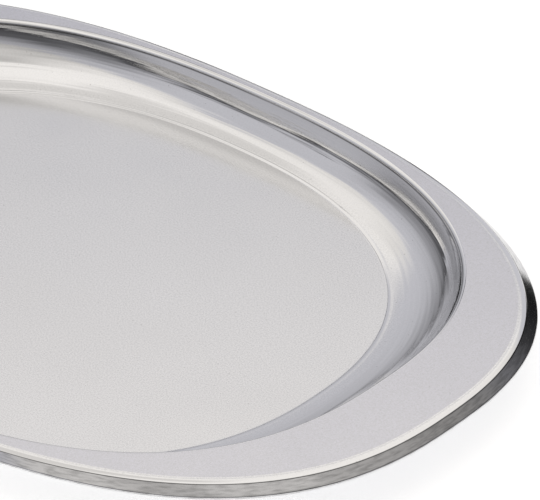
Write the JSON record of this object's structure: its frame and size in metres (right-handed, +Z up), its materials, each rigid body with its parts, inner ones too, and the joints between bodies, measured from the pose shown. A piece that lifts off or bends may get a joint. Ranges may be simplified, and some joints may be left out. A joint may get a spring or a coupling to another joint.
{
  "type": "oval serving tray",
  "caption": "Oval stainless steel serving tray with a sunk well, a flat polished rim that widens into a grip at each end, and a turned, wired edge.",
  "frame": {"origin": "middle of the flat resting face under the well's floor", "axes": "+Z up out of the well, +X along the tray's length, +Y towards the long side that carries the wire's weld"},
  "size_m": [0.5, 0.3262, 0.0258],
  "materials": {
    "polished_steel": "mirror polished stainless steel, with fine scratches from use",
    "wire_steel": "drawn steel wire, bright",
    "weld_steel": "butt weld, dark and slightly rough"
  },
  "bodies": {
    "root": {"pan": "polished_steel", "edge_wire": "wire_steel", "wire_weld": "weld_steel"}
  },
  "joints": []
}
